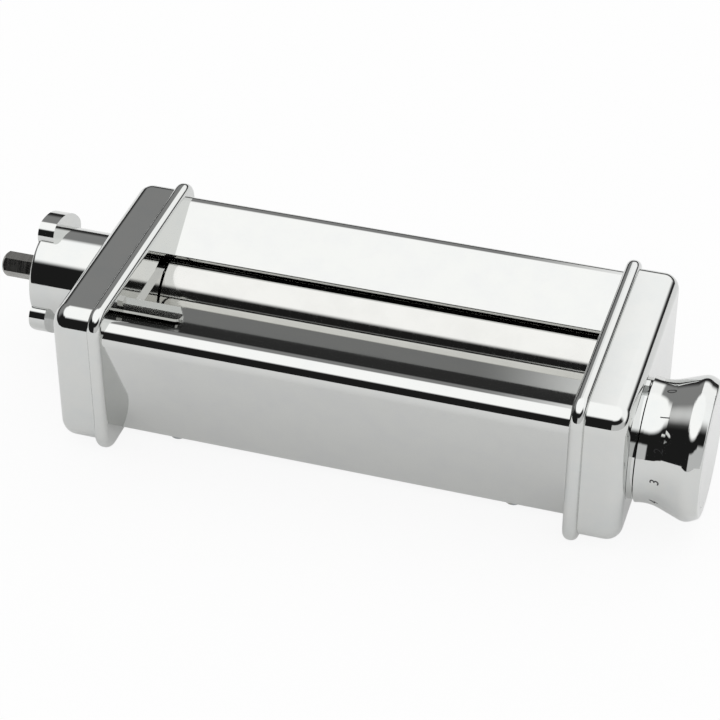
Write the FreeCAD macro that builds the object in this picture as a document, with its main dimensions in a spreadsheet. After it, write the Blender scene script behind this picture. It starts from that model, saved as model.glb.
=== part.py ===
import FreeCAD, Part
import math
import os
from types import SimpleNamespace

import Sketcher

# Pasta roller attachment of a stand mixer, in millimetres.
# X runs along the rollers from the drive hub to the dial, Y from front to back, Z up from the feet.
# The origin lies under the middle of the whole machine, on the surface that the feet stand on.

SIZES = {
    # end frames, whose flanges are the feet
    "span": 160, "frame_thickness": 5, "frame_depth": 93.6, "frame_height": 58, "frame_corner": 8, "bead": 2.2,
    # end caps
    "cap_length": 14, "cap_inset": 2, "cap_wall": 1.6, "cap_corner": 7.5, "cap_edge": 5.5,
    # bent covers: hem at the bottom, leaning panel, rounded rim, guard that slopes down to the roller
    "sheet": 1.2, "hem_height": 3.5, "hem_width": 7, "hem_reach": 34.2, "hem_bend": 2, "rim_reach": 46.7,
    "rim_height": 55.6, "rim_bend": 5.5, "guard_reach": 14.5, "guard_gap": 0.45,
    # rollers and the gap between them at the first and last dial setting
    "roller_diameter": 30, "roller_bore": 25, "roller_end_gap": 2, "axis_height": 27.5, "gap_open": 3,
    "gap_closed": 0.5, "plug_length": 16, "journal_diameter": 14, "neck_diameter": 18,
    # gears on the left, one on each roller
    "gear_gap": 1.5, "gear_width": 6, "gear_teeth": 10, "gear_addendum": 2.25, "gear_root_gap": 0.4,
    "gear_tooth": 3.7, "gear_seat": 13, "key_width": 3, "key_height": 2.4, "key_length": 5,
    # gear plate outside the gears
    "deck_gap": 0.7, "deck_thickness": 2.5, "deck_depth": 70, "deck_height": 42, "deck_corner": 6,
    # drive hub with two bayonet lugs, and the hexagonal end of the drive shaft
    "hub_diameter": 34.6, "hub_length": 28.1, "hub_spigot": 32, "hub_bore": 16, "hub_edge": 1.2,
    "collar_diameter": 39, "collar_thickness": 2, "lug_diameter": 44, "lug_thickness": 6, "lug_round": 5,
    "lug_root": 17, "shaft_diameter": 10, "hex_flats": 8, "hex_reach": 16.4, "hex_chamfer": 1.2,
    "hub_bush_length": 12, "hub_screw_circle": 24, "hub_screw_depth": 9,
    # eccentric spindle
    "eccentric_diameter": 12, "tail_diameter": 8, "tail_length": 1.3, "spindle_journal": 16,
    "spindle_step": 10, "square": 8,
    # bushes and retaining clips
    "bush_wall": 2, "bush_flange": 2.5, "bush_flange_thickness": 1.2, "sleeve_diameter": 22,
    "sleeve_flange": 28, "sleeve_flange_thickness": 2.4, "clip_thickness": 0.7, "clip_width": 2.4,
    # dial
    "ring_diameter": 41, "ring_thickness": 1.3, "pointer_width": 3, "pointer_reach": 23, "knob_gap": 0.5,
    "knob_length": 21.6, "knob_base": 42.6, "knob_waist": 41, "waist_place": 4.7, "knob_rim": 49.9,
    "rim_place": 17.2, "knob_face": 45.6, "waist_bend": 14, "rim_round": 5, "face_round": 1.2, "web": 6,
    "knob_cavity": 24, "face_diameter": 38, "face_thickness": 1.6, "pin_diameter": 3, "pin_circle": 33,
    "pin_reach": 2.2, "track_depth": 2.6, "pocket_depth": 4.2, "track_clearance": 0.3,
    "spring_length": 10, "spring_wire": 1, "spring_diameter": 13.4, "spring_turns": 4.5, "spring_gap": 0.1,
    "washer_diameter": 17, "washer_thickness": 1,
    # tie rods, standoffs and screws
    "rod_diameter": 6, "rod_reach": 30, "rod_rise": 17.5, "thread_depth": 12, "standoff_bore_depth": 5,
    "screw_large": 4, "screw_small": 3, "head_large": 7, "head_small": 5.6, "head_large_height": 2.4,
    "head_small_height": 1.2, "cover_screw_place": 60,
    # scrapers, nip guards and dough guide
    "ear_thickness": 1.5, "ear_diameter": 24, "ear_width": 12, "scraper_gap": 0.3, "scraper_drop": 20,
    "scraper_bend": 5.6, "scraper_tip": 8.8, "scraper_thickness": 1.2, "rod_clearance": 0.4,
    "nip_guard_thickness": 1.5, "nip_guard_reach": 12, "nip_guard_top": 14.5, "nip_guard_foot": 5.5,
    "ear_clearance": 0.4, "nip_stud_rise": 10.5, "guide_length": 22, "guide_width": 6.2, "guide_thickness": 1,
    "guide_round": 1.5, "guide_place": 27.2, "guide_lift": 0.6, "guide_foot": 4.2, "guide_stud": 2.4,
    # clearances: running and press fits, holes that only let something through
    "fit": 0.05, "free": 0.3,
}
PRESSURE_ANGLE = math.radians(25)
TOP = 90
LUG_SPAN = 90
LUG_MIDDLE = 117
DIAL_STEP = 30
DIAL_SETTINGS = 7
HUB_SCREWS = 3
HEX_SIDES = 6
NEAR = 0.01

UP = FreeCAD.Rotation()
ALONG_X = FreeCAD.Rotation(FreeCAD.Vector(0, 1, 0), 90)
HEX_FLAT_UP = FreeCAD.Rotation(FreeCAD.Vector(1, 0, 0), 180 / HEX_SIDES).multiply(ALONG_X)
TURNED = FreeCAD.Rotation(FreeCAD.Vector(0, 0, 1), 180)


class Size:
    # a length that holds both its value and the formula behind it
    def __init__(self, text, value):
        self.text = text
        self.value = value

    def __add__(self, other):
        other = as_size(other)
        return Size(f"({self.text} + {other.text})", self.value + other.value)

    def __sub__(self, other):
        other = as_size(other)
        return Size(f"({self.text} - {other.text})", self.value - other.value)

    def __rsub__(self, other):
        return as_size(other) - self

    def __mul__(self, other):
        other = as_size(other)
        return Size(f"({self.text} * {other.text})", self.value * other.value)

    def __truediv__(self, other):
        other = as_size(other)
        return Size(f"({self.text} / {other.text})", self.value / other.value)

    def __neg__(self):
        return self * -1

    def root(self):
        return Size(f"sqrt({self.text})", math.sqrt(self.value))


def as_size(thing):
    return thing if isinstance(thing, Size) else Size(f"({thing})", thing)


def read_sizes():
    sheet = doc.addObject("Spreadsheet::Sheet", "Dims")
    for row, (name, value) in enumerate(SIZES.items(), start=1):
        sheet.set(f"A{row}", name)
        sheet.set(f"B{row}", str(value))
        sheet.setAlias(f"B{row}", name)
    doc.recompute()
    return SimpleNamespace(**{name: Size(f"Dims.{name}", float(sheet.get(name))) for name in SIZES})


doc = FreeCAD.newDocument("PastaRoller")
d = read_sizes()
nodes = []

# distances outwards from the middle of the rollers
half_span = d.span / 2
frame_out = half_span + d.frame_thickness
roller_half = half_span - d.roller_end_gap
gear_in = frame_out + d.gear_gap
gear_out = gear_in + d.gear_width
deck_in = gear_out + d.deck_gap
deck_out = deck_in + d.deck_thickness
cap_out = frame_out + d.cap_length
hub_out = cap_out + d.hub_length
hex_out = hub_out + d.hex_reach
ring_out = cap_out + d.ring_thickness
knob_in = ring_out + d.knob_gap
knob_out = knob_in + d.knob_length
web_out = knob_in + d.web
washer_in = web_out + d.spring_length
washer_out = washer_in + d.washer_thickness

# the middle of the rollers, measured from the middle of the whole machine
middle = (hex_out - knob_out) / 2

# the drive axis lies this far behind the nip plane, the dial axis as far in front of it
axis_reach = (d.roller_diameter + (d.gap_open + d.gap_closed) / 2) / 2
throw = (d.gap_open - d.gap_closed) / 2
front_axis = axis_reach + throw
roller_radius = d.roller_diameter / 2
guard_height = d.axis_height + roller_radius + throw + d.guard_gap + d.sheet
guard_slope = (d.rim_height - guard_height) / (d.rim_reach - d.guard_reach)
neck_bore = d.eccentric_diameter / 2 + d.fit

# underside of the dough guide at its edge next to the rollers, and its stud
guide_low = guard_height + guard_slope * (d.guide_place - d.guide_width / 2 - d.guard_reach) + d.guide_lift
guide_stud_height = guide_low + d.guide_foot / 2
guide_stud_place = d.guide_place - d.guide_width / 4


def bind(thing, **lengths):
    for name, length in lengths.items():
        thing.setExpression(name, as_size(length).text)


def place(thing, x=0, y=0, z=0, turn=UP):
    thing.Placement = FreeCAD.Placement(FreeCAD.Vector(), turn)
    for axis, length in zip("xyz", (x, y, z)):
        thing.setExpression(f"Placement.Base.{axis}", as_size(length).text)


def node(label, thing, y=0, z=0, turn=UP):
    thing.Label = label
    place(thing, middle, y, z, turn)
    nodes.append(thing)


def bar(radius, start, end, y=0, z=0):
    thing = doc.addObject("Part::Cylinder", "Bar")
    bind(thing, Radius=radius, Height=as_size(end) - start)
    place(thing, start, y, z, ALONG_X)
    return thing


def post(radius, low, high, x=0, y=0):
    thing = doc.addObject("Part::Cylinder", "Post")
    bind(thing, Radius=radius, Height=as_size(high) - low)
    place(thing, x, y, low)
    return thing


def cone(start_radius, end_radius, start, end, y=0, z=0):
    thing = doc.addObject("Part::Cone", "Cone")
    bind(thing, Radius1=start_radius, Radius2=end_radius, Height=as_size(end) - start)
    place(thing, start, y, z, ALONG_X)
    return thing


def box(x, y, z):
    # each of x, y and z is the pair of the lowest and highest places
    thing = doc.addObject("Part::Box", "Block")
    bind(thing, Length=as_size(x[1]) - x[0], Width=as_size(y[1]) - y[0], Height=as_size(z[1]) - z[0])
    place(thing, x[0], y[0], z[0])
    return thing


def group(*things):
    thing = doc.addObject("Part::Compound", "Group")
    thing.Links = list(things)
    return thing


def fuse(*things):
    thing = doc.addObject("Part::MultiFuse", "Joined")
    thing.Shapes = list(things)
    return thing


def cut(base, *tools):
    thing = doc.addObject("Part::Cut", "Cut")
    thing.Base = base
    thing.Tool = tools[0] if len(tools) == 1 else group(*tools)
    return thing


def common(base, tool):
    thing = doc.addObject("Part::Common", "Shared")
    thing.Base = base
    thing.Tool = tool
    return thing


def tube(outer, inner, start, end):
    return cut(bar(outer, start, end), bar(inner, start, end))


def new_body(name):
    return doc.addObject("PartDesign::Body", name)


def new_sketch(body, role):
    sketch = body.newObject("Sketcher::SketchObject", "Sketch")
    plane = next(feature for feature in body.Origin.OriginFeatures if feature.Role == role)
    sketch.AttachmentSupport = (plane, [""])
    sketch.MapMode = "FlatFace"
    return sketch


def pin_point(sketch, geometry, position, across, up):
    for kind, axis, length in (("DistanceX", -2, across), ("DistanceY", -1, up)):
        if isinstance(length, Size):
            rule = Sketcher.Constraint(kind, -1, 1, geometry, position, length.value)
            sketch.setExpression(f"Constraints[{sketch.addConstraint(rule)}]", length.text)
        else:
            sketch.addConstraint(Sketcher.Constraint("PointOnObject", geometry, position, axis))


def polygon(body, role, points):
    # a coordinate that isn't a Size is 0 and lies on the axis
    sketch = new_sketch(body, role)
    corners = [FreeCAD.Vector(as_size(across).value, as_size(up).value) for across, up in points]
    for start, end in zip(corners, corners[1:] + corners[:1]):
        sketch.addGeometry(Part.LineSegment(start, end))
    for index, (across, up) in enumerate(points):
        before = (index - 1) % len(points)
        sketch.addConstraint(Sketcher.Constraint("Coincident", before, 2, index, 1))
        pin_point(sketch, index, 1, across, up)
    return sketch


def circles(body, role, rounds):
    sketch = new_sketch(body, role)
    for index, (across, up, radius) in enumerate(rounds):
        centre = FreeCAD.Vector(as_size(across).value, as_size(up).value)
        sketch.addGeometry(Part.Circle(centre, FreeCAD.Vector(0, 0, 1), radius.value))
        pin_point(sketch, index, 3, across, up)
        rule = sketch.addConstraint(Sketcher.Constraint("Radius", index, radius.value))
        sketch.setExpression(f"Constraints[{rule}]", radius.text)
    return sketch


def rectangle(body, role, across, low, high):
    return polygon(body, role, [(-across, low), (across, low), (across, high), (-across, high)])


def pad(body, sketch, length):
    feature = body.newObject("PartDesign::Pad", "Pad")
    feature.Profile = sketch
    bind(feature, Length=length)
    doc.recompute()


def pocket(body, sketch, depth=None):
    before = body.Shape.Volume
    feature = body.newObject("PartDesign::Pocket", "Pocket")
    feature.Profile = sketch
    feature.Reversed = True
    if depth is None:
        feature.Type = "ThroughAll"
    else:
        bind(feature, Length=depth)
    doc.recompute()
    if feature.Shape.Volume >= before:
        raise ValueError(f"a pocket in {body.Name} cuts nothing")


def turned(name, profile):
    # the profile's points are pairs of a place along X and a radius
    body = new_body(name)
    sketch = polygon(body, "XY_Plane", profile)
    feature = body.newObject("PartDesign::Revolution", "Turning")
    feature.Profile = sketch
    feature.ReferenceAxis = (sketch, ["H_Axis"])
    feature.Angle = 360
    doc.recompute()
    return body


def round_off(body, radius, edges=None, faces=None):
    # edges and faces are tests that pick what is rounded
    base = body.Tip
    names = [f"Edge{i}" for i, edge in enumerate(base.Shape.Edges, 1) if edges and edges(edge)]
    names += [f"Face{i}" for i, face in enumerate(base.Shape.Faces, 1) if faces and faces(face)]
    if not names:
        raise ValueError(f"nothing to round on {body.Name}")
    feature = body.newObject("PartDesign::Fillet", "Round")
    feature.Base = (base, names)
    bind(feature, Radius=radius)
    doc.recompute()


def runs_along_x(edge):
    return edge.BoundBox.YLength + edge.BoundBox.ZLength < NEAR


def runs_at(y, z):
    def test(edge):
        place = edge.CenterOfMass
        return runs_along_x(edge) and abs(abs(place.y) - y.value) < NEAR and abs(place.z - z.value) < NEAR
    return test


def flat_at(x):
    def test(face):
        return face.BoundBox.XLength < NEAR and abs(face.CenterOfMass.x - as_size(x).value) < NEAR
    return test


def ring_at(x, radius):
    def test(edge):
        bounds = edge.BoundBox
        flat = bounds.XLength < NEAR and abs(bounds.XMin - x.value) < NEAR
        return flat and abs(bounds.ZMax - radius.value) < NEAR
    return test


def rod_places():
    for y in (-d.rod_reach, d.rod_reach):
        for z in (d.axis_height - d.rod_rise, d.axis_height + d.rod_rise):
            yield y, z


def end_frames():
    # left and right frames have the drive axis on opposite sides of their own Y
    small = d.guide_stud / 2 + d.free
    neck_room = d.neck_diameter / 2 + throw + d.free
    bush_hole = d.journal_diameter / 2 + d.bush_wall + d.fit
    sleeve_hole = d.sleeve_diameter / 2 + d.fit
    stud = d.pin_diameter / 2 + d.fit
    frames = (
        ("left_end_frame", TURNED, -axis_reach, neck_room, [(guide_stud_place, guide_stud_height, small)]),
        ("right_end_frame", UP, axis_reach, sleeve_hole, []),
    )
    for label, turn, drive_axis, dial_hole, own_holes in frames:
        body = new_body(label)
        outline = rectangle(body, "YZ_Plane", d.frame_depth / 2, 0, d.frame_height)
        pad(body, outline, d.frame_thickness)
        round_off(body, d.frame_corner, edges=runs_along_x)
        round_off(body, d.bead, faces=lambda face: flat_at(0)(face) or flat_at(d.frame_thickness)(face))
        holes = [(drive_axis, d.axis_height, bush_hole), (-drive_axis, d.axis_height, dial_hole)]
        holes += [(y, z, d.screw_large / 2 + d.fit) for y, z in rod_places()]
        holes += [(0, d.axis_height + d.nip_stud_rise, stud)] + own_holes
        pocket(body, circles(body, "YZ_Plane", holes))
        shift = -half_span if turn is TURNED else half_span
        nodes.append(body)
        body.Label = label
        place(body, middle + shift, turn=turn)


def rounded_block(name, shrink, length):
    # the shape of an end cap, drawn in all round by a distance
    reach = d.frame_depth / 2 - d.cap_inset - shrink
    low = d.cap_inset + shrink
    high = d.frame_height - d.cap_inset - shrink
    body = new_body(name)
    pad(body, rectangle(body, "YZ_Plane", reach, low, high), length)
    round_off(body, d.cap_corner - shrink, edges=runs_along_x)
    round_off(body, d.cap_edge - shrink, faces=flat_at(length))
    place(body, frame_out)
    return body


def end_caps():
    # seen from outside, the hub and the dial both stand on the same side of their cap
    caps = (
        ("left_end_cap", TURNED, d.hub_spigot / 2 + d.free),
        ("right_end_cap", UP, d.sleeve_diameter / 2 + d.free),
    )
    for label, turn, radius in caps:
        outside = rounded_block("cap_outside", as_size(0), d.cap_length)
        inside = rounded_block("cap_inside", d.cap_wall, d.cap_length - d.cap_wall)
        hole = bar(radius, frame_out, cap_out, -axis_reach, d.axis_height)
        node(label, cut(outside, fuse(inside, hole)), turn=turn)


def covers():
    # one bent sheet on each side: hem, panel that leans outwards, rounded rim, guard
    lean = (d.rim_reach - d.hem_reach) / (d.rim_height - d.hem_height)
    drop = d.sheet * (guard_slope + 1) / (1 - lean * guard_slope)
    inner_rim = (d.rim_reach - d.sheet - lean * drop, d.rim_height - drop)
    inner_hem = (d.hem_reach - d.sheet + lean * d.sheet, d.hem_height + d.sheet)
    hem_end = d.hem_reach - d.hem_width
    outline = [
        (hem_end, d.hem_height), (d.hem_reach, d.hem_height), (d.rim_reach, d.rim_height),
        (d.guard_reach, guard_height), (d.guard_reach, guard_height - d.sheet),
        inner_rim, inner_hem, (hem_end, d.hem_height + d.sheet),
    ]
    hole = d.screw_small / 2 + d.fit
    for label, turn, side in (("back_cover", UP, -1), ("front_cover", TURNED, 1)):
        body = new_body(label)
        pad(body, polygon(body, "YZ_Plane", outline), d.span)
        round_off(body, d.rim_bend, edges=runs_at(d.rim_reach, d.rim_height))
        round_off(body, d.rim_bend - d.sheet, edges=runs_at(*inner_rim))
        round_off(body, d.hem_bend, edges=runs_at(d.hem_reach, d.hem_height))
        round_off(body, d.hem_bend - d.sheet, edges=runs_at(*inner_hem))
        screws = [(half_span + d.cover_screw_place * end, d.rod_reach, hole) for end in (-1, 1)]
        pocket(body, circles(body, "XY_Plane", screws), d.hem_height + d.sheet + d.free)
        body.Label = label
        place(body, middle + half_span * side, turn=turn)
        nodes.append(body)


def tie_rods():
    radius = d.rod_diameter / 2
    bore = d.screw_large / 2 + d.fit
    rods = []
    for y, z in rod_places():
        holes = [bar(bore, -half_span, d.thread_depth - half_span, y, z)]
        holes.append(bar(bore, half_span - d.thread_depth, half_span, y, z))
        for end in (-1, 1):
            if z.value < d.axis_height.value:
                small = d.screw_small / 2 + d.fit
                holes.append(post(small, z - radius, z + d.free, d.cover_screw_place * end, y))
        rods.append(cut(bar(radius, -half_span, half_span, y, z), *holes))
    node("tie_rods", group(*rods))


def frame_fasteners():
    large = d.screw_large / 2
    small = d.screw_small / 2
    stud_end = half_span - d.thread_depth + d.free
    bore_start = deck_in - d.standoff_bore_depth
    standoffs = []
    frame_screws = []
    deck_screws = []
    for y, z in rod_places():
        solid = fuse(bar(d.rod_diameter / 2, frame_out, deck_in, y, z), bar(large, stud_end, frame_out, y, z))
        standoffs.append(cut(solid, bar(small + d.fit, bore_start, deck_in, y, z)))
        head = bar(d.head_large / 2, frame_out, frame_out + d.head_large_height, y, z)
        frame_screws.append(fuse(head, bar(large, stud_end, frame_out, y, z)))
        head = bar(d.head_small / 2, deck_out, deck_out + d.head_small_height, y, z)
        deck_screws.append(fuse(head, bar(small, bore_start + d.free, deck_out, y, z)))
    node("standoffs", group(*standoffs), turn=TURNED)
    node("tie_rod_screws", group(*frame_screws))
    node("gear_plate_screws", group(*deck_screws), turn=TURNED)


def cover_screws():
    low = d.axis_height - d.rod_rise
    screws = []
    for y in (-d.rod_reach, d.rod_reach):
        for x in (-d.cover_screw_place, d.cover_screw_place):
            head = post(d.head_small / 2, d.hem_height - d.head_small_height, d.hem_height, x, y)
            screws.append(fuse(head, post(d.screw_small / 2, d.hem_height, low, x, y)))
    node("cover_screws", group(*screws))


def hub_screw_places():
    for index in range(HUB_SCREWS):
        angle = math.radians(TOP + index * 360 / HUB_SCREWS)
        yield d.hub_screw_circle / 2 * math.cos(angle), d.hub_screw_circle / 2 * math.sin(angle)


def gear_plate():
    reach = d.deck_depth / 2
    low = d.axis_height - d.deck_height / 2
    high = d.axis_height + d.deck_height / 2
    body = new_body("gear_plate_blank")
    pad(body, rectangle(body, "YZ_Plane", reach, low, high), d.deck_thickness)
    round_off(body, d.deck_corner, edges=runs_along_x)
    holes = [(-axis_reach, d.axis_height, d.hub_bore / 2)]
    holes.append((axis_reach, d.axis_height, d.tail_diameter / 2 + d.bush_wall + d.fit))
    holes += [(y, z, d.screw_small / 2 + d.fit) for y, z in rod_places()]
    pocket(body, circles(body, "YZ_Plane", holes))
    place(body, deck_in)
    sinks = []
    for y, z in hub_screw_places():
        head = d.screw_large + d.fit
        sinks.append(cone(head, head - d.screw_large / 2, deck_in, deck_in + d.screw_large / 2,
                          y - axis_reach, z + d.axis_height))
        sinks.append(bar(d.screw_large / 2 + d.fit, deck_in, deck_out, y - axis_reach, z + d.axis_height))
    node("gear_plate", cut(body, *sinks), turn=TURNED)


def hub():
    spigot = d.hub_spigot / 2
    collar = d.collar_diameter / 2
    barrel = d.hub_diameter / 2
    bore = d.hub_bore / 2
    collar_out = cap_out + d.collar_thickness
    body = turned("hub_barrel", [
        (deck_out, bore), (deck_out, spigot), (cap_out, spigot), (cap_out, collar), (collar_out, collar),
        (collar_out, barrel), (hub_out, barrel), (hub_out, bore),
    ])
    round_off(body, d.hub_edge, edges=ring_at(hub_out, barrel))
    lugs = [hub_lug(LUG_MIDDLE), hub_lug(LUG_MIDDLE + 180)]
    screw = d.screw_large / 2 + d.fit
    threads = [bar(screw, deck_out, deck_out + d.hub_screw_depth, y, z) for y, z in hub_screw_places()]
    solid = cut(fuse(body, *lugs), *threads)
    node("hub", solid, axis_reach, d.axis_height, TURNED)


def hub_lug(middle_angle):
    # a quarter of a disc, rounded at its two outer corners
    body = new_body("hub_lug")
    half = math.radians(LUG_SPAN / 2)
    outer = d.lug_diameter / 2
    inner = d.lug_root / 2
    slope = math.tan(half)
    sketch = polygon(body, "YZ_Plane", [
        (inner, -inner * slope), (d.lug_diameter, -d.lug_diameter * slope),
        (d.lug_diameter, d.lug_diameter * slope), (inner, inner * slope),
    ])
    pad(body, sketch, d.lug_thickness)
    disc = bar(outer, 0, d.lug_thickness)
    lug = common(body, disc)
    doc.recompute()
    rounded = doc.addObject("Part::Fillet", "LugCorners")
    rounded.Base = lug
    far = outer.value - NEAR
    rounded.Edges = [
        (i, d.lug_round.value, d.lug_round.value) for i, edge in enumerate(lug.Shape.Edges, 1)
        if runs_along_x(edge) and math.hypot(edge.CenterOfMass.y, edge.CenterOfMass.z) > far
    ]
    place(rounded, hub_out - d.lug_thickness, turn=FreeCAD.Rotation(FreeCAD.Vector(1, 0, 0), middle_angle))
    return rounded


def hub_fittings():
    large = d.screw_large / 2
    bush = tube(d.hub_bore / 2 - d.fit, d.shaft_diameter / 2 + d.fit, hub_out - d.hub_bush_length, hub_out)
    node("hub_bush", bush, axis_reach, d.axis_height, TURNED)
    end = deck_out + d.hub_screw_depth - d.free
    screws = []
    for y, z in hub_screw_places():
        head = cone(d.screw_large, large, deck_in, deck_in + large, y, z)
        screws.append(fuse(head, bar(large, deck_in + large, end, y, z)))
    node("hub_screws", group(*screws), axis_reach, d.axis_height, TURNED)


def bushes():
    bore = d.journal_diameter / 2 + d.fit
    outer = d.journal_diameter / 2 + d.bush_wall
    flange = outer + d.bush_flange
    flange_out = frame_out + d.bush_flange_thickness
    for label, turn in (("rear_bush_left", TURNED), ("rear_bush_right", UP)):
        body = turned(label, [
            (half_span, bore), (half_span, outer), (frame_out, outer), (frame_out, flange),
            (flange_out, flange), (flange_out, bore),
        ])
        node(label, body, axis_reach, d.axis_height, turn)
    tail = d.tail_diameter / 2
    node("spindle_bush_left", tube(tail + d.bush_wall, tail + d.fit, deck_in, deck_out), -axis_reach,
         d.axis_height, TURNED)
    bore = d.spindle_journal / 2 + d.fit
    sleeve = d.sleeve_diameter / 2
    flange = d.sleeve_flange / 2
    flange_out = frame_out + d.sleeve_flange_thickness
    body = turned("spindle_sleeve", [
        (half_span, bore), (half_span, sleeve), (frame_out, sleeve), (frame_out, flange),
        (flange_out, flange), (flange_out, sleeve), (ring_out, sleeve), (ring_out, bore),
    ])
    node("spindle_sleeve", body, -axis_reach, d.axis_height)


def index_ring():
    # threaded on the sleeve, it holds the right end cap, and its tab points at the dial's numbers
    pin_height = d.pin_circle / 2
    tab = box((cap_out, ring_out), (-d.pointer_width / 2, d.pointer_width / 2), (pin_height, d.pointer_reach))
    disc = fuse(bar(d.ring_diameter / 2, cap_out, ring_out), tab)
    hole = bar(d.pin_diameter / 2 + d.fit, cap_out, ring_out, 0, pin_height)
    ring = cut(disc, bar(d.sleeve_diameter / 2 + d.fit, cap_out, ring_out), hole)
    node("index_ring", ring, -axis_reach, d.axis_height)
    pin = bar(d.pin_diameter / 2, cap_out, knob_in + d.pin_reach, 0, pin_height)
    node("index_pin", group(pin), -axis_reach, d.axis_height)


def nip_guards():
    # a thin plate at each end of the nip keeps dough away from the journals, between the scrapers' ears
    low = d.axis_height + d.nip_guard_foot
    high = d.axis_height + d.nip_guard_top
    inside = half_span - d.nip_guard_thickness
    rear_room = d.ear_diameter / 2 + d.ear_clearance
    front_room = rear_room + throw
    for label, turn, rear in (("nip_guard_left", TURNED, -axis_reach), ("nip_guard_right", UP, axis_reach)):
        block = box((inside, half_span), (-d.nip_guard_reach, d.nip_guard_reach), (low, high))
        plate = cut(block, bar(rear_room, inside, half_span, rear, d.axis_height),
                    bar(front_room, inside, half_span, -rear, d.axis_height))
        stud = bar(d.pin_diameter / 2, half_span, frame_out, 0, d.axis_height + d.nip_stud_rise)
        node(label, fuse(plate, stud), turn=turn)


def dough_guide():
    # a short finger on the left end frame, just above the front guard and sloping with it
    near = d.guide_place - d.guide_width / 2
    far = d.guide_place + d.guide_width / 2
    foot_top = guide_low + d.guide_foot
    middle_low = guide_low + guard_slope * d.guide_width / 2
    far_low = guide_low + guard_slope * d.guide_width
    finger = new_body("guide_finger")
    outline = [(near, guide_low), (far, far_low), (far, far_low + d.guide_thickness),
               (near, guide_low + d.guide_thickness)]
    pad(finger, polygon(finger, "YZ_Plane", outline), d.guide_length)
    round_off(finger, d.guide_round, edges=lambda edge: edge.BoundBox.XMax < NEAR and edge.BoundBox.YLength < NEAR)
    place(finger, half_span - d.guide_length)
    foot = new_body("guide_foot")
    outline = [(near, guide_low), (d.guide_place, middle_low), (d.guide_place, foot_top), (near, foot_top)]
    pad(foot, polygon(foot, "YZ_Plane", outline), d.guide_thickness)
    place(foot, half_span - d.guide_thickness)
    stud = bar(d.guide_stud / 2, half_span, frame_out, guide_stud_place, guide_stud_height)
    node("dough_guide", fuse(finger, foot, stud), turn=TURNED)


def scrapers():
    # a sharp-edged strip that hangs by two ears on the journals and leans on the lower tie rod
    ear_in = roller_half + (d.roller_end_gap - d.ear_thickness) / 2
    ear_out = ear_in + d.ear_thickness
    low = -d.scraper_drop
    high = low + d.scraper_thickness
    reach = roller_radius + d.scraper_gap
    tip_height = -(reach * reach - d.scraper_tip * d.scraper_tip).root()
    rows = (
        ("rear_scraper", UP, axis_reach, 1, d.journal_diameter / 2),
        ("front_scraper", TURNED, front_axis, -1, d.neck_diameter / 2),
    )
    for label, turn, axis, side, journal in rows:
        tail = d.rod_reach - d.rod_diameter / 2 - d.rod_clearance - axis
        body = new_body("scraper_strip")
        outline = [
            (tail, low), (-d.scraper_bend - d.scraper_thickness, low), (-d.scraper_tip, tip_height),
            (-d.scraper_bend, high), (tail, high),
        ]
        pad(body, polygon(body, "YZ_Plane", outline), ear_out * 2)
        place(body, -ear_out)
        solids = [body]
        bores = []
        for start, end in ((ear_in, ear_out), (-ear_out, -ear_in)):
            arm = box((start, end), (-d.ear_width / 2, d.ear_width / 2), (low, 0))
            solids += [bar(d.ear_diameter / 2, start, end), arm]
            bores.append(bar(journal + d.fit, start, end))
        node(label, cut(fuse(*solids), *bores), axis * side, d.axis_height, turn)


def drive_line():
    bore = d.roller_bore / 2
    plug = bore - d.fit
    plug_in = roller_half - d.plug_length
    journal = d.journal_diameter / 2
    seat = d.gear_seat / 2
    shaft = d.shaft_diameter / 2
    node("rear_roller", tube(roller_radius, bore, -roller_half, roller_half), axis_reach, d.axis_height)

    shank = turned("drive_shank", [
        (plug_in, 0), (plug_in, plug), (roller_half, plug), (roller_half, journal), (gear_in, journal),
        (gear_in, seat), (gear_out, seat), (gear_out, shaft), (hub_out, shaft), (hub_out, 0),
    ])
    corner = d.hex_flats / math.sqrt(3)
    prism = doc.addObject("Part::Prism", "Hexagon")
    prism.Polygon = HEX_SIDES
    bind(prism, Circumradius=corner, Height=d.hex_reach)
    place(prism, hub_out, turn=HEX_FLAT_UP)
    round_end = fuse(bar(corner, hub_out, hex_out - d.hex_chamfer),
                     cone(corner, corner - d.hex_chamfer, hex_out - d.hex_chamfer, hex_out))
    solid = fuse(shank, common(prism, round_end))
    slot = key_block(seat, d.fit)
    node("drive_shaft", cut(solid, slot), axis_reach, d.axis_height, TURNED)

    clip_in = frame_out + d.bush_flange_thickness + d.free
    clip_out = clip_in + d.clip_thickness
    body = turned("rear_journal", [
        (plug_in, 0), (plug_in, plug), (roller_half, plug), (roller_half, journal),
        (clip_out + d.free, journal), (clip_out + d.free, 0),
    ])
    node("rear_journal", body, axis_reach, d.axis_height)
    clip = tube(journal + d.clip_width, journal + d.fit, clip_in, clip_out)
    node("rear_journal_clip", clip, axis_reach, d.axis_height)
    node("drive_gear_key", group(key_block(seat, 0)), axis_reach, d.axis_height, TURNED)
    drive_gear = gear_shape(seat, 0)
    node("drive_gear", drive_gear, axis_reach, d.axis_height, TURNED)


def key_block(seat, room):
    # half of the key lies in the shaft and half in the gear
    side = d.key_width / 2 + room
    start = gear_in + (d.gear_width - d.key_length) / 2
    end = start + d.key_length
    low = seat - d.key_height / 2
    high = low + d.key_height
    return box((start - room, end + room), (-side, side), (low - room, high + room))


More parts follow.
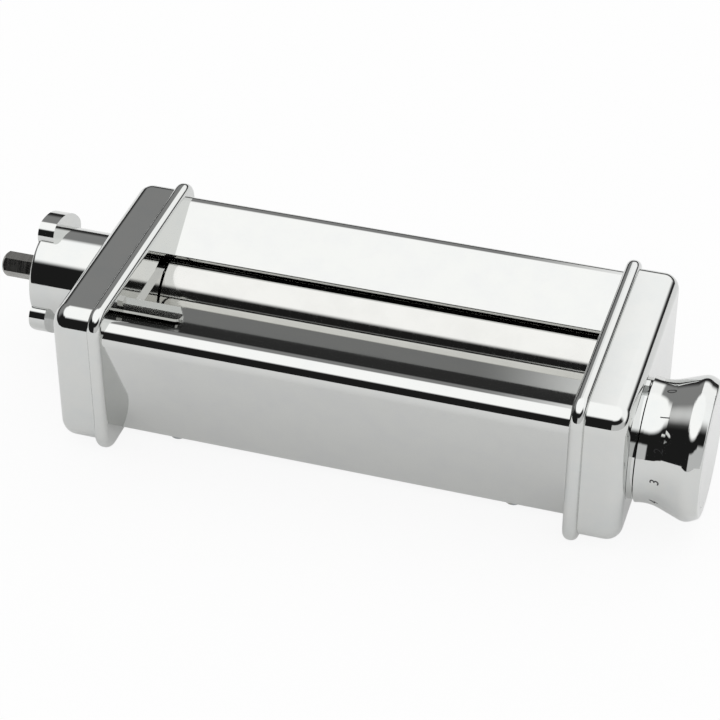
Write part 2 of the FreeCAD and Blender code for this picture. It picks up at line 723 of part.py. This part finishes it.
def gear_shape(seat, first_tooth):
    # involute teeth thin enough to mesh from the open gap to the closed one
    pitch = (d.roller_diameter.value + d.gap_closed.value) / 2
    tip = pitch + d.gear_addendum.value
    base = pitch * math.cos(PRESSURE_ANGLE)
    foot = min(pitch - d.gear_addendum.value - d.gear_root_gap.value, base - d.gear_root_gap.value)
    teeth = int(d.gear_teeth.value)
    start = gear_in.value

    def involute(angle):
        return math.tan(angle) - angle

    def half_angle(radius):
        lean = involute(PRESSURE_ANGLE) - involute(math.acos(min(1, base / radius)))
        return d.gear_tooth.value / (2 * pitch) + lean

    def point(radius, angle):
        return FreeCAD.Vector(start, radius * math.cos(angle), radius * math.sin(angle))

    edges = []
    middle_radius = (base + tip) / 2
    half_pitch = math.pi / teeth
    for index in range(teeth):
        angle = math.radians(first_tooth) + 2 * index * half_pitch
        rise = [point(r, angle - half_angle(r)) for r in (base, middle_radius, tip)]
        fall = [point(r, angle + half_angle(r)) for r in (tip, middle_radius, base)]
        foot_start = point(foot, angle - half_angle(base))
        foot_end = point(foot, angle + half_angle(base))
        next_foot = point(foot, angle + 2 * half_pitch - half_angle(base))
        edges.append(Part.LineSegment(foot_start, rise[0]))
        edges.append(Part.Arc(*rise))
        edges.append(Part.Arc(rise[2], point(tip, angle), fall[0]))
        edges.append(Part.Arc(*fall))
        edges.append(Part.LineSegment(fall[2], foot_end))
        edges.append(Part.Arc(foot_end, point(foot, angle + half_pitch), next_foot))
    blank = Part.Face(Part.Wire([edge.toShape() for edge in edges]))
    thing = doc.addObject("Part::Feature", "GearBlank")
    thing.Shape = blank.extrude(FreeCAD.Vector(d.gear_width.value, 0, 0))
    bore = bar(seat + d.fit, gear_in, gear_out)
    return cut(thing, fuse(bore, key_block(seat, d.fit)))


def front_roller():
    # hollow roller whose two necks turn on the eccentric part of the spindle
    bore = d.roller_bore / 2
    plug = bore - d.fit
    plug_in = roller_half - d.plug_length
    neck = d.neck_diameter / 2
    right_end = half_span - d.fit
    node("front_roller", tube(roller_radius, bore, -roller_half, roller_half), -front_axis, d.axis_height)
    left = turned("left_neck_blank", [
        (plug_in, neck_bore), (plug_in, plug), (roller_half, plug), (roller_half, neck), (gear_out, neck),
        (gear_out, neck_bore),
    ])
    node("front_neck_left", cut(left, key_block(neck, d.fit)), -front_axis, d.axis_height, TURNED)
    right = turned("front_neck_right", [
        (plug_in, neck_bore), (plug_in, plug), (roller_half, plug), (roller_half, neck), (right_end, neck),
        (right_end, neck_bore),
    ])
    node("front_neck_right", right, -front_axis, d.axis_height)
    node("driven_gear_key", group(key_block(neck, 0)), -front_axis, d.axis_height, TURNED)
    half_tooth = 180 / d.gear_teeth.value
    node("driven_gear", gear_shape(neck, half_tooth), -front_axis, d.axis_height, TURNED)


def spindle():
    # the dial turns it; its offset middle part carries the front roller towards the rear one
    tail = d.tail_diameter / 2
    offset = d.eccentric_diameter / 2
    shoulder = gear_out + d.deck_gap / 2
    step_out = half_span + d.spindle_step
    square = d.square / 2
    square_in = ring_out + d.knob_gap / 2
    solid = fuse(
        bar(tail, -deck_out - d.tail_length, -shoulder), bar(offset, -shoulder, half_span, -throw),
        bar(d.spindle_journal / 2, half_span, step_out), bar(offset, step_out, square_in),
        box((square_in, washer_in), (-square, square), (-square, square)),
    )
    thread = bar(d.screw_large / 2 + d.fit, washer_in - d.thread_depth, washer_in)
    node("eccentric_spindle", cut(solid, thread), -axis_reach, d.axis_height)
    clip_in = deck_out + d.free
    clip = tube(tail + d.clip_width, tail + d.fit, clip_in, clip_in + d.clip_thickness)
    node("spindle_clip", clip, -axis_reach, d.axis_height, TURNED)
    washer = tube(d.washer_diameter / 2, d.screw_large / 2 + d.fit, washer_in, washer_out)
    node("knob_washer", washer, -axis_reach, d.axis_height)
    screw = fuse(bar(d.head_large / 2, washer_out, washer_out + d.head_large_height),
                 bar(d.screw_large / 2, washer_in - d.thread_depth + d.free, washer_out))
    node("knob_screw", screw, -axis_reach, d.axis_height)


def biarc(start, start_way, end, end_way):
    # two arcs that leave the start and reach the end in the given directions
    gap = end - start
    ways = start_way + end_way
    spread = 2 * (1 - start_way.dot(end_way))
    reach = (math.sqrt(gap.dot(ways) ** 2 + spread * gap.dot(gap)) - gap.dot(ways)) / spread
    joint = (start + end + (start_way - end_way) * reach) * 0.5
    return [arc_from(start, start_way, joint), arc_from(end, end_way * -1, joint)]


def arc_from(start, way, end):
    chord = end - start
    across = (chord - way * chord.dot(way)).normalize()
    radius = chord.dot(chord) / (2 * chord.dot(across))
    centre = start + across * radius
    crown = ((start + end) * 0.5 - centre).normalize()
    return Part.Arc(start, centre + crown * radius, end).toShape()


def knob_spring():
    # pushes the knob back against the index ring
    coil = d.spring_diameter.value / 2
    wire = d.spring_wire.value / 2
    start = web_out.value + d.spring_gap.value + wire
    rise = d.spring_length.value - 2 * (d.spring_gap.value + wire)
    quarters = int(d.spring_turns.value * 4)
    quarter = math.pi / 2
    climb = rise / (quarters * quarter)

    def point(angle):
        return FreeCAD.Vector(start + climb * angle, coil * math.cos(angle), coil * math.sin(angle))

    def way(angle):
        return FreeCAD.Vector(climb, -coil * math.sin(angle), coil * math.cos(angle)).normalize()

    edges = []
    for index in range(quarters):
        first = index * quarter
        last = first + quarter
        edges += biarc(point(first), way(first), point(last), way(last))
    path = Part.Wire(Part.__sortEdges__(edges))
    section = Part.Wire(Part.makeCircle(wire, point(0), way(0)))
    thing = doc.addObject("Part::Feature", "Spring")
    thing.Shape = path.makePipeShell([section], True, False)
    expected = math.pi * wire ** 2 * path.Length
    pitch_gap = climb * 2 * math.pi - 2 * wire
    print(f"knob spring: volume {thing.Shape.Volume:.2f} of {expected:.2f}, gap between turns {pitch_gap:.2f}")
    node("knob_spring", thing, -axis_reach, d.axis_height)


def knob():
    track_in = d.pin_circle / 2 - d.pin_diameter / 2 - d.track_clearance
    track_out = d.pin_circle / 2 + d.pin_diameter / 2 + d.track_clearance
    track_end = knob_in + d.track_depth
    waist = knob_in + d.waist_place
    rim = knob_in + d.rim_place
    face_in = knob_out - d.face_thickness
    cavity = d.knob_cavity / 2
    disc = d.face_diameter / 2
    body = turned("knob_blank", [
        (knob_in, 0), (knob_in, track_in), (track_end, track_in), (track_end, track_out), (knob_in, track_out),
        (knob_in, d.knob_base / 2), (waist, d.knob_waist / 2), (rim, d.knob_rim / 2),
        (knob_out, d.knob_face / 2), (knob_out, disc), (face_in, disc), (face_in, cavity), (web_out, cavity),
        (web_out, 0),
    ])
    round_off(body, d.waist_bend, edges=ring_at(waist, d.knob_waist / 2))
    round_off(body, d.rim_round, edges=ring_at(rim, d.knob_rim / 2))
    round_off(body, d.face_round, edges=ring_at(knob_out, d.knob_face / 2))
    square = d.square / 2 + d.fit
    tools = [box((knob_in, web_out), (-square, square), (-square, square))]
    radius = d.pin_diameter / 2 + d.track_clearance
    for setting in range(DIAL_SETTINGS):
        angle = math.radians(TOP + setting * DIAL_STEP)
        y = d.pin_circle / 2 * math.cos(angle)
        z = d.pin_circle / 2 * math.sin(angle)
        tools.append(bar(radius, knob_in, knob_in + d.pocket_depth, y, z))
    node("knob", cut(body, fuse(*tools)), -axis_reach, d.axis_height)
    face = bar(disc - d.fit, face_in, knob_out)
    node("knob_face", group(face), -axis_reach, d.axis_height)


def write_parts():
    doc.recompute()
    for thing in doc.Objects:
        if "Invalid" in thing.State or "Error" in thing.State:
            raise ValueError(f"{thing.Name} ({thing.Label}) failed")
    for thing in nodes:
        if thing.Shape.isNull() or not thing.Shape.isValid() or not thing.Shape.Solids:
            raise ValueError(f"{thing.Label} has no valid solid")
    os.makedirs("parts", exist_ok=True)
    for thing in nodes:
        thing.Shape.exportStep(f"parts/{thing.Label}.step")
    print(f"{len(nodes)} nodes written")


end_frames()
end_caps()
covers()
tie_rods()
frame_fasteners()
cover_screws()
gear_plate()
hub()
hub_fittings()
bushes()
index_ring()
nip_guards()
dough_guide()
scrapers()
drive_line()
front_roller()
spindle()
knob_spring()
knob()
write_parts()
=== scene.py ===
import bpy, bmesh, math
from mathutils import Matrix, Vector
from mathutils.bvhtree import BVHTree


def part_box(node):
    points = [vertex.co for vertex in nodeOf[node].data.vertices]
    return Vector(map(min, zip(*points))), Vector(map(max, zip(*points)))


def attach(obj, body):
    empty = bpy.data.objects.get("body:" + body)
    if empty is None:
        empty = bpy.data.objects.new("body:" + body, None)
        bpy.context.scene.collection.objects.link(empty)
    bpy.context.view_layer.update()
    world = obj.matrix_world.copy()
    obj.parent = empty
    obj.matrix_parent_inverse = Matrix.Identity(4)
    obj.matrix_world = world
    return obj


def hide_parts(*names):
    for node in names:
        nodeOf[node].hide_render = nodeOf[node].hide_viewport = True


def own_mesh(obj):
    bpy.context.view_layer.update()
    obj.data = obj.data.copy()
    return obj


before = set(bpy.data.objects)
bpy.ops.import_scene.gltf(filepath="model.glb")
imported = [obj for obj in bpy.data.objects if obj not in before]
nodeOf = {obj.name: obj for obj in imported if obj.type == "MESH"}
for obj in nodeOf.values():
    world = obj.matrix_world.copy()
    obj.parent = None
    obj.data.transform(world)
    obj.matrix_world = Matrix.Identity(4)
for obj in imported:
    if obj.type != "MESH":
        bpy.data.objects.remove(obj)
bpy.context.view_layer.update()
print("frame loaded:", len(nodeOf), "nodes")


# camera: the photograph's own viewpoint, millimetres in the part's frame
cameraSet = {"place": (201.95, -630.2, 521.0), "azimuth": 17.17, "elevation": 36.91, "focalPixels": 2380.3}


def addCamera(s):
    camera = bpy.data.objects.new("photoCamera", bpy.data.cameras.new("photoCamera"))
    bpy.context.scene.collection.objects.link(camera)
    camera.location = Vector(s["place"]) / 1000
    camera.rotation_euler = (math.radians(90 - s["elevation"]), 0, math.radians(s["azimuth"]))
    camera.data.sensor_width = 36
    camera.data.lens = 36 * s["focalPixels"] / 720      # the picture is 720 pixels square
    camera.data.clip_end = 50
    bpy.context.scene.camera = camera


addCamera(cameraSet)
bpy.context.scene.view_settings.view_transform = "Standard"
print("camera set")


# one function for colours, one for nodes
def hexColour(text):
    channels = [int(text[i:i + 2], 16) / 255 for i in (1, 3, 5)]
    return tuple(c / 12.92 if c <= 0.04045 else ((c + 0.055) / 1.055) ** 2.4 for c in channels) + (1,)


def addNode(tree, kind, inputs=None, **settings):
    node = tree.nodes.new(kind)
    for name, value in settings.items():
        setattr(node, name, value)
    for name, value in (inputs or {}).items():
        socket = node.inputs[name]
        if isinstance(value, bpy.types.NodeSocket):
            tree.links.new(value, socket)
        else:
            socket.default_value = value
    return node


# studio: white table, a large soft box overhead and one at the back right, dark room behind the camera
studioSet = {
    "overhead": 1.78, "backRight": 1.65, "backLeft": 0.37, "wallFoot": 0.04, "darkRoom": 0.02, "fillCard": 0.85,
    "overheadEdge": (0.70, 0.82), "backEdge": (-0.19, -0.12), "backFoot": (0.15, 0.36), "frontEdge": (-0.30, 0.10),
    "cardTop": (0.42, 0.50), "cardEdge": (-0.08, 0.00),
}


def addStudio(s):
    world = bpy.data.worlds.new("studio")
    bpy.context.scene.world = world
    world.use_nodes = True
    tree = world.node_tree
    tree.nodes.clear()
    way = addNode(tree, "ShaderNodeSeparateXYZ", {0: addNode(tree, "ShaderNodeTexCoord").outputs["Generated"]})
    side = addNode(tree, "ShaderNodeMapRange", {                  # dim left half, bright right half of the back
        "Value": way.outputs["X"], "From Min": s["backEdge"][0], "From Max": s["backEdge"][1],
        "To Min": s["backLeft"], "To Max": s["backRight"]}, interpolation_type="SMOOTHSTEP")
    foot = addNode(tree, "ShaderNodeMapRange", {                  # dark strip where table and wall meet
        "Value": way.outputs["Z"], "From Min": s["backFoot"][0], "From Max": s["backFoot"][1],
        "To Min": 0.0, "To Max": 1.0}, interpolation_type="SMOOTHSTEP")
    back = addNode(tree, "ShaderNodeMix", {0: foot.outputs[0], 2: s["wallFoot"], 3: side.outputs[0]}, data_type="FLOAT")
    front = addNode(tree, "ShaderNodeMapRange", {                 # the unlit room that the camera stands in
        "Value": way.outputs["Y"], "From Min": s["frontEdge"][0], "From Max": s["frontEdge"][1],
        "To Min": 0.0, "To Max": 1.0}, interpolation_type="SMOOTHSTEP")
    cardHeight = addNode(tree, "ShaderNodeMapRange", {            # low white card at the right of the camera
        "Value": way.outputs["Z"], "From Min": s["cardTop"][0], "From Max": s["cardTop"][1],
        "To Min": 1.0, "To Max": 0.0}, interpolation_type="SMOOTHSTEP")
    cardSide = addNode(tree, "ShaderNodeMapRange", {
        "Value": way.outputs["X"], "From Min": s["cardEdge"][0], "From Max": s["cardEdge"][1],
        "To Min": 0.0, "To Max": 1.0}, interpolation_type="SMOOTHSTEP")
    card = addNode(tree, "ShaderNodeMath", {0: cardHeight.outputs[0], 1: cardSide.outputs[0]}, operation="MULTIPLY")
    room = addNode(tree, "ShaderNodeMix", {0: card.outputs[0], 2: s["darkRoom"], 3: s["fillCard"]}, data_type="FLOAT")
    around = addNode(tree, "ShaderNodeMix", {
        0: front.outputs[0], 2: room.outputs[0], 3: back.outputs[0]}, data_type="FLOAT")
    above = addNode(tree, "ShaderNodeMapRange", {
        "Value": way.outputs["Z"], "From Min": s["overheadEdge"][0], "From Max": s["overheadEdge"][1],
        "To Min": 0.0, "To Max": 1.0}, interpolation_type="SMOOTHSTEP")
    seen = addNode(tree, "ShaderNodeMix", {
        0: above.outputs[0], 2: around.outputs[0], 3: s["overhead"]}, data_type="FLOAT")
    path = addNode(tree, "ShaderNodeLightPath")
    plain = addNode(tree, "ShaderNodeMath", {
        0: path.outputs["Is Camera Ray"], 1: path.outputs["Is Diffuse Ray"]}, operation="MAXIMUM")
    level = addNode(tree, "ShaderNodeMix", {                      # camera and soft light see plain white
        0: plain.outputs[0], 2: seen.outputs[0], 3: 1.0}, data_type="FLOAT")
    background = addNode(tree, "ShaderNodeBackground", {"Strength": level.outputs[0]})
    addNode(tree, "ShaderNodeOutputWorld", {0: background.outputs[0]})


# glow is the share of plain white in the table as the camera sees it, mirroredGlow as the metal shows it
tableSet = {"white": 0.96, "glow": 0.9, "mirroredGlow": 0.3, "halfSize": 12}


def addTable(s):
    board = bmesh.new()
    bmesh.ops.create_grid(board, x_segments=1, y_segments=1, size=s["halfSize"])
    mesh = bpy.data.meshes.new("tableTop")
    board.to_mesh(mesh)
    board.free()
    table = bpy.data.objects.new("tableTop", mesh)
    bpy.context.scene.collection.objects.link(table)
    material = bpy.data.materials.new("whiteTable")     # matt white board, keeps a faint shadow
    material.use_nodes = True
    tree = material.node_tree
    tree.nodes.clear()
    matt = addNode(tree, "ShaderNodeBsdfDiffuse", {"Color": (s["white"], s["white"], s["white"], 1)})
    glow = addNode(tree, "ShaderNodeEmission", {"Strength": 1.0})
    path = addNode(tree, "ShaderNodeLightPath")
    bounced = addNode(tree, "ShaderNodeMath", {
        0: path.outputs["Is Glossy Ray"], 1: path.outputs["Is Transmission Ray"]}, operation="MAXIMUM")
    mirrored = addNode(tree, "ShaderNodeMath", {0: bounced.outputs[0], 1: s["mirroredGlow"]}, operation="MULTIPLY")
    share = addNode(tree, "ShaderNodeMath", {
        0: path.outputs["Is Camera Ray"], 1: s["glow"], 2: mirrored.outputs[0]}, operation="MULTIPLY_ADD")
    mixed = addNode(tree, "ShaderNodeMixShader", {0: share.outputs[0], 1: matt.outputs[0], 2: glow.outputs[0]})
    addNode(tree, "ShaderNodeOutputMaterial", {0: mixed.outputs[0]})
    mesh.materials.append(material)


addStudio(studioSet)
addTable(tableSet)
print("studio set")


# metals: each has a grain left by its making and a faint haze of handling, sizes in millimetres
grainSpan = (0.3, 0.7)      # the part of each noise's range that is spread from 0 to 1
hazeSpan = (0.42, 0.68)
poreSpan = (0.18, 0.34)


def finishMetal(s):
    material = bpy.data.materials.new(s["name"])
    material.use_nodes = True
    tree = material.node_tree
    shader = tree.nodes["Principled BSDF"]
    shader.inputs["Metallic"].default_value = 1
    coords = addNode(tree, "ShaderNodeTexCoord").outputs["Object"]
    stretched = addNode(tree, "ShaderNodeMapping", {0: coords, "Scale": [1000 / mm for mm in s["grainMm"]]})
    grain = addNode(tree, "ShaderNodeTexNoise", {
        "Vector": stretched.outputs[0], "Scale": 1.0, "Detail": s["grainDetail"]})
    haze = addNode(tree, "ShaderNodeTexNoise", {
        "Vector": coords, "Scale": 1000 / s["hazeMm"], "Detail": 4.0, "Roughness": 0.6})
    patches = addNode(tree, "ShaderNodeMapRange", {
        "Value": haze.outputs[0], "From Min": hazeSpan[0], "From Max": hazeSpan[1], "To Min": 0.0, "To Max": 1.0})
    tint = addNode(tree, "ShaderNodeMix", {
        0: patches.outputs[0], 6: hexColour(s["clean"]), 7: hexColour(s["hazed"])}, data_type="RGBA")
    colour = tint.outputs[2]
    dull = addNode(tree, "ShaderNodeMapRange", {
        "Value": grain.outputs[0], "From Min": grainSpan[0], "From Max": grainSpan[1],
        "To Min": s["roughness"][0], "To Max": s["roughness"][1]})
    rough = addNode(tree, "ShaderNodeMath", {
        0: patches.outputs[0], 1: s["hazeRough"], 2: dull.outputs[0]}, operation="MULTIPLY_ADD")
    height = grain.outputs[0]
    if "poreMm" in s:       # open pores of a pressed powder metal, dark with oil
        cells = addNode(tree, "ShaderNodeTexVoronoi", {"Vector": coords, "Scale": 1000 / s["poreMm"]})
        pores = addNode(tree, "ShaderNodeMapRange", {
            "Value": cells.outputs["Distance"], "From Min": poreSpan[0], "From Max": poreSpan[1],
            "To Min": 0.0, "To Max": 1.0})
        filled = addNode(tree, "ShaderNodeMix", {
            0: pores.outputs[0], 6: hexColour(s["pore"]), 7: colour}, data_type="RGBA")
        colour = filled.outputs[2]
        height = pores.outputs[0]
    bump = addNode(tree, "ShaderNodeBump", {
        "Height": height, "Strength": s["bump"], "Distance": s["grainHeightMm"] / 1000})
    tree.links.new(colour, shader.inputs["Base Color"])
    tree.links.new(rough.outputs[0], shader.inputs["Roughness"])
    tree.links.new(bump.outputs[0], shader.inputs["Normal"])
    return material


def dress(material, *names):
    for name in names:
        slots = nodeOf[name].data.materials
        slots.clear()
        slots.append(material)


# chrome plate on cast zinc: a near mirror, whose soft ripple from buffing the casting bends reflections a little
chromeSet = {
    "name": "chromePlateOnZinc", "clean": "#D2D3D1", "hazed": "#CFD1D0", "grainMm": (13, 13, 13), "grainDetail": 1.0,
    "grainHeightMm": 0.05, "bump": 0.25, "hazeMm": 9, "roughness": (0.025, 0.045), "hazeRough": 0.015,
}
dress(finishMetal(chromeSet), "left_end_frame", "right_end_frame", "left_end_cap", "right_end_cap", "hub", "index_ring",
      "knob", "knob_face")

# chrome-plated bent steel sheet: mirror bright, with the long shallow waves of rolled sheet
sheetSet = {
    "name": "chromePlatedSheet", "clean": "#D2D3D1", "hazed": "#D0D1D0", "grainMm": (60, 14, 14), "grainDetail": 1.0,
    "grainHeightMm": 0.05, "bump": 0.22, "hazeMm": 10, "roughness": (0.03, 0.05), "hazeRough": 0.012,
}
dress(finishMetal(sheetSet), "front_cover", "back_cover")

# ground and polished roller steel: fine rings round the roller from the grinding wheel, drawn 1.1 mm apart to show
rollerSet = {
    "name": "groundRollerSteel", "clean": "#D0D0CD", "hazed": "#CCCCC9", "grainMm": (1.1, 90, 90), "grainDetail": 1.0,
    "grainHeightMm": 0.002, "bump": 0.1, "hazeMm": 12, "roughness": (0.04, 0.09), "hazeRough": 0.02,
}
dress(finishMetal(rollerSet), "front_roller", "rear_roller")

# turned bare steel: darker grey with lathe rings across the axis, feed drawn as 0.6 mm
turnedSet = {
    "name": "turnedBareSteel", "clean": "#A5A4A0", "hazed": "#8F8E8A", "grainMm": (0.6, 50, 50), "grainDetail": 2.0,
    "grainHeightMm": 0.02, "bump": 0.35, "hazeMm": 9, "roughness": (0.16, 0.30), "hazeRough": 0.08,
}
dress(finishMetal(turnedSet), "tie_rods", "standoffs", "gear_plate", "drive_shaft", "rear_journal", "front_neck_left",
      "front_neck_right", "eccentric_spindle", "drive_gear_key", "driven_gear_key", "index_pin", "knob_washer")

# cut gear steel: dull grey, scored along the teeth by the cutter, with smears of grease
gearSet = {
    "name": "cutGearSteel", "clean": "#8E8D89", "hazed": "#6E6B64", "grainMm": (12, 0.4, 0.4), "grainDetail": 2.0,
    "grainHeightMm": 0.02, "bump": 0.35, "hazeMm": 5, "roughness": (0.22, 0.36), "hazeRough": -0.10,
}
dress(finishMetal(gearSet), "drive_gear", "driven_gear")

# polished stainless strip: bright, with straight hairlines along the strip, drawn 0.9 mm apart to show
stripSet = {
    "name": "stainlessStrip", "clean": "#BDBDBA", "hazed": "#B4B4B1", "grainMm": (30, 0.9, 0.9), "grainDetail": 1.0,
    "grainHeightMm": 0.004, "bump": 0.12, "hazeMm": 8, "roughness": (0.04, 0.08), "hazeRough": 0.02,
}
dress(finishMetal(stripSet), "rear_scraper", "front_scraper", "nip_guard_left", "nip_guard_right", "dough_guide")

# zinc-plated steel: satin grey that drifts between a bluish and a yellowish cast
screwSet = {
    "name": "zincPlatedSteel", "clean": "#AEB2B6", "hazed": "#B0AC9C", "grainMm": (1.2, 1.2, 1.2), "grainDetail": 3.0,
    "grainHeightMm": 0.01, "bump": 0.3, "hazeMm": 4, "roughness": (0.22, 0.34), "hazeRough": 0.06,
}
dress(finishMetal(screwSet), "tie_rod_screws", "gear_plate_screws", "cover_screws", "hub_screws", "knob_screw")

# blackened spring steel: almost black, brown where the oil film is thin
springSet = {
    "name": "blackenedSpringSteel", "clean": "#3A3A3C", "hazed": "#4A443C", "grainMm": (0.8, 0.8, 0.8),
    "grainDetail": 3.0, "grainHeightMm": 0.01, "bump": 0.3, "hazeMm": 3, "roughness": (0.26, 0.40), "hazeRough": 0.08,
}
springSteel = finishMetal(springSet)
dress(springSteel, "rear_journal_clip", "spindle_clip")

# sintered bronze: warm and matt, peppered with tiny dark oil pores, drawn 0.45 mm apart to show
bronzeSet = {
    "name": "sinteredBronze", "clean": "#B58B4C", "hazed": "#9C733B", "grainMm": (2, 2, 2), "grainDetail": 3.0,
    "grainHeightMm": 0.03, "bump": 0.4, "hazeMm": 6, "roughness": (0.32, 0.46), "hazeRough": 0.06,
    "poreMm": 0.45, "pore": "#4A3318",
}
dress(finishMetal(bronzeSet), "hub_bush", "rear_bush_left", "rear_bush_right", "spindle_bush_left", "spindle_sleeve")
print("metals dressed")


# return spring: an open coil between the knob's web and the washer
coilSet = {
    "wire": 1.0, "travel": 4.0,     # millimetres
    "turns": 4.5, "stepsPerTurn": 36, "wireSides": 12,
}


def addReturnSpring(s):
    low, high = (Vector(corner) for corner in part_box("knob_spring"))
    axis = (low + high) / 2
    radius = s["wire"] / 2000
    start = Vector((low.x + radius, high.y - radius, axis.z))
    steps = round(s["turns"] * s["stepsPerTurn"])
    rise = (high.x - low.x - 2 * radius) / steps
    coil = bmesh.new()
    section = bmesh.ops.create_circle(coil, segments=s["wireSides"], radius=radius)["verts"]
    bmesh.ops.translate(coil, verts=section, vec=start)
    bmesh.ops.spin(coil, geom=coil.verts[:] + coil.edges[:], cent=axis, axis=(1, 0, 0), dvec=(rise, 0, 0),
                   angle=math.radians(360 * s["turns"]), steps=steps)
    for face in coil.faces:
        face.smooth = True
    bmesh.ops.holes_fill(coil, edges=[edge for edge in coil.edges if edge.is_boundary])      # cut ends of the wire
    bmesh.ops.recalc_face_normals(coil, faces=coil.faces)
    mesh = bpy.data.meshes.new("returnSpring")
    coil.to_mesh(mesh)
    coil.free()
    mesh.materials.append(springSteel)
    piece = bpy.data.objects.new("returnSpring", mesh)
    bpy.context.scene.collection.objects.link(piece)
    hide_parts("knob_spring")
    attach(piece, "spindle")
    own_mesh(piece)


addReturnSpring(coilSet)
print("return spring wound")


# dial numbers: black enamel laid on the knob's neck, each turned so that its foot points to the knob's end
numberSet = {
    "count": 7, "firstAngle": 90, "stepAngle": 30,      # degrees from the back over the top to the front
    "fromNeck": 7.0, "textSize": 4.5, "proud": 0.03, "thickness": 0.06, "castFrom": 40,     # millimetres
    "name": "blackEnamel", "colour": "#141415", "worn": "#2A2A2B", "grainMm": 0.8, "roughness": (0.28, 0.45),
}


def blackEnamel(s):     # stoved enamel: deep black with a soft gloss, greyer where wiping has thinned it
    material = bpy.data.materials.new(s["name"])
    material.use_nodes = True
    tree = material.node_tree
    shader = tree.nodes["Principled BSDF"]
    coords = addNode(tree, "ShaderNodeTexCoord").outputs["Object"]
    grain = addNode(tree, "ShaderNodeTexNoise", {"Vector": coords, "Scale": 1000 / s["grainMm"], "Detail": 3.0})
    tint = addNode(tree, "ShaderNodeMix", {
        0: grain.outputs[0], 6: hexColour(s["colour"]), 7: hexColour(s["worn"])}, data_type="RGBA")
    rough = addNode(tree, "ShaderNodeMapRange", {
        "Value": grain.outputs[0], "From Min": grainSpan[0], "From Max": grainSpan[1],
        "To Min": s["roughness"][0], "To Max": s["roughness"][1]})
    tree.links.new(tint.outputs[2], shader.inputs["Base Color"])
    tree.links.new(rough.outputs[0], shader.inputs["Roughness"])
    return material


def addDialNumbers(s):
    knobMesh = nodeOf["knob"].data
    skin = BVHTree.FromPolygons([v.co for v in knobMesh.vertices], [p.vertices for p in knobMesh.polygons])
    low, high = (Vector(corner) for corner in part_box("knob"))
    axis = (low + high) / 2
    numbers = bmesh.new()
    for number in range(s["count"]):
        curve = bpy.data.curves.new("number", "FONT")
        curve.body = str(number)
        curve.size = s["textSize"] / 1000
        curve.align_x = "CENTER"
        curve.align_y = "CENTER"
        holder = bpy.data.objects.new("number", curve)
        bpy.context.scene.collection.objects.link(holder)
        bpy.context.view_layer.update()
        flat = bpy.data.meshes.new_from_object(holder.evaluated_get(bpy.context.evaluated_depsgraph_get()))
        digit = bmesh.new()
        digit.from_mesh(flat)
        bmesh.ops.remove_doubles(digit, verts=digit.verts, dist=1e-6)
        bmesh.ops.triangulate(digit, faces=digit.faces)
        bmesh.ops.subdivide_edges(digit, edges=digit.edges, cuts=2, use_grid_fill=True)
        middle = math.radians(s["firstAngle"] + number * s["stepAngle"])
        for vert in digit.verts:        # wrap the digit round the neck
            x = low.x + s["fromNeck"] / 1000 - vert.co.y
            angle = middle - vert.co.x / (high.z - axis.z)
            outwards = Vector((0, math.cos(angle), math.sin(angle)))
            start = Vector((x, axis.y, axis.z)) + outwards * s["castFrom"] / 1000
            place = skin.ray_cast(start, -outwards)[0]
            vert.co = place + outwards * s["proud"] / 1000
        bmesh.ops.recalc_face_normals(digit, faces=digit.faces)
        bmesh.ops.solidify(digit, geom=digit.faces, thickness=s["thickness"] / 1000)
        digit.to_mesh(flat)
        digit.free()
        numbers.from_mesh(flat)
        bpy.data.objects.remove(holder)
        bpy.data.curves.remove(curve)
        bpy.data.meshes.remove(flat)
    bmesh.ops.recalc_face_normals(numbers, faces=numbers.faces)
    mesh = bpy.data.meshes.new("dialNumbers")
    numbers.to_mesh(mesh)
    numbers.free()
    mesh.materials.append(blackEnamel(s))
    piece = bpy.data.objects.new("dialNumbers", mesh)
    bpy.context.scene.collection.objects.link(piece)
    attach(piece, "knob")


addDialNumbers(numberSet)
print("dial numbers laid")
